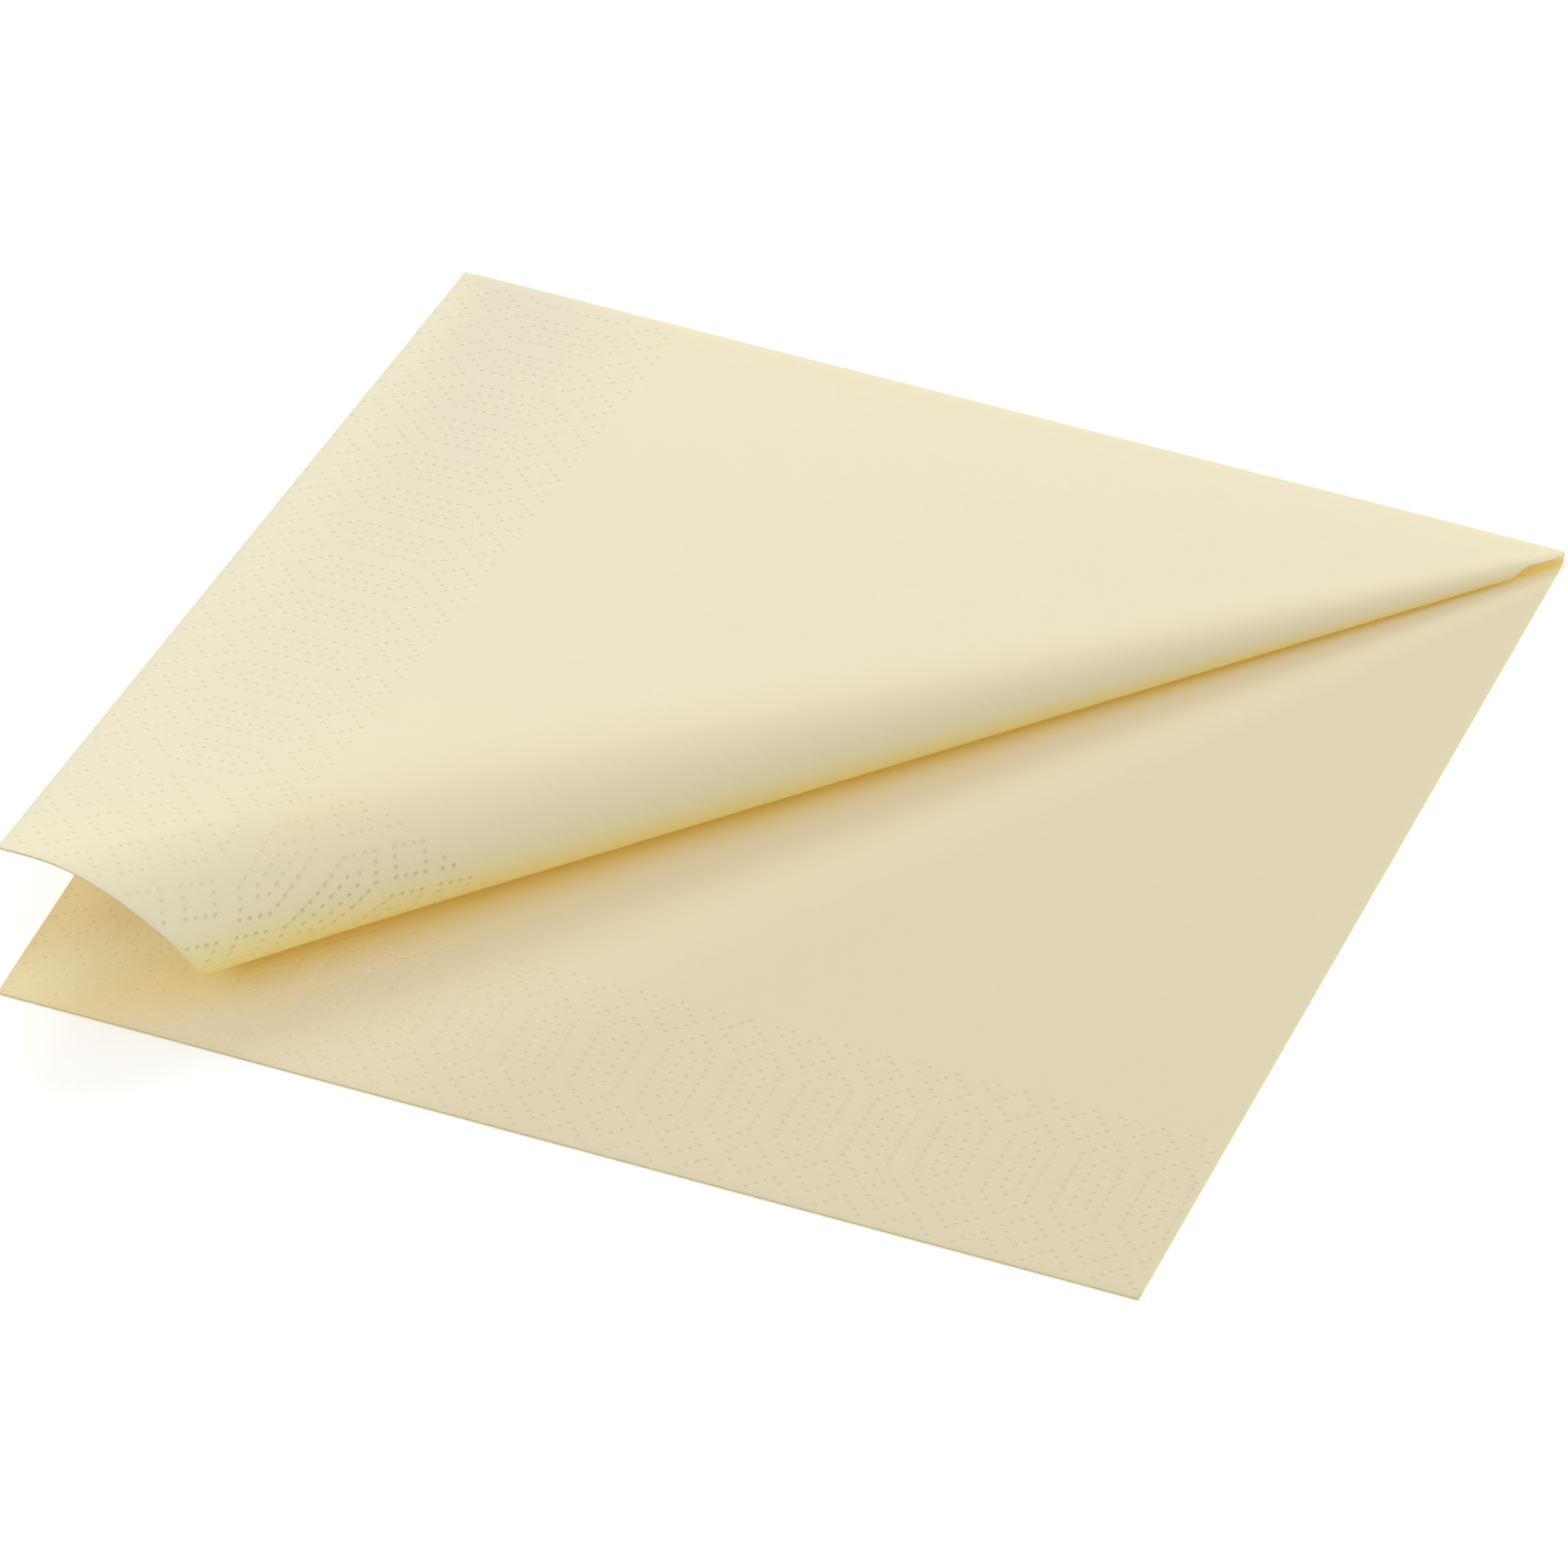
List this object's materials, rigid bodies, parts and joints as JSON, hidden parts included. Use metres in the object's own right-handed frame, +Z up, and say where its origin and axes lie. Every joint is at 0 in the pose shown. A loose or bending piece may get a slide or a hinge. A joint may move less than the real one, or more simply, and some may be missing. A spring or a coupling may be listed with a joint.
{
  "type": "paper napkin",
  "caption": "Square tissue napkin folded in quarters, its raised upper leaf turned under along the diagonal in a soft tapering roll, with a wide embossed border of diamonds and long hexagons.",
  "frame": {"origin": "on the table, under the middle of the folded square", "axes": "+Z up, away from the table; +X along the front edge, from the open side to the closed side; +Y from the front edge to the back fold"},
  "size_m": [0.165, 0.165, 0.0249],
  "materials": {
    "tissue": "soft matte cream tissue, embossed along its cut edges"
  },
  "bodies": {
    "root": {"napkin": "tissue"}
  },
  "joints": []
}
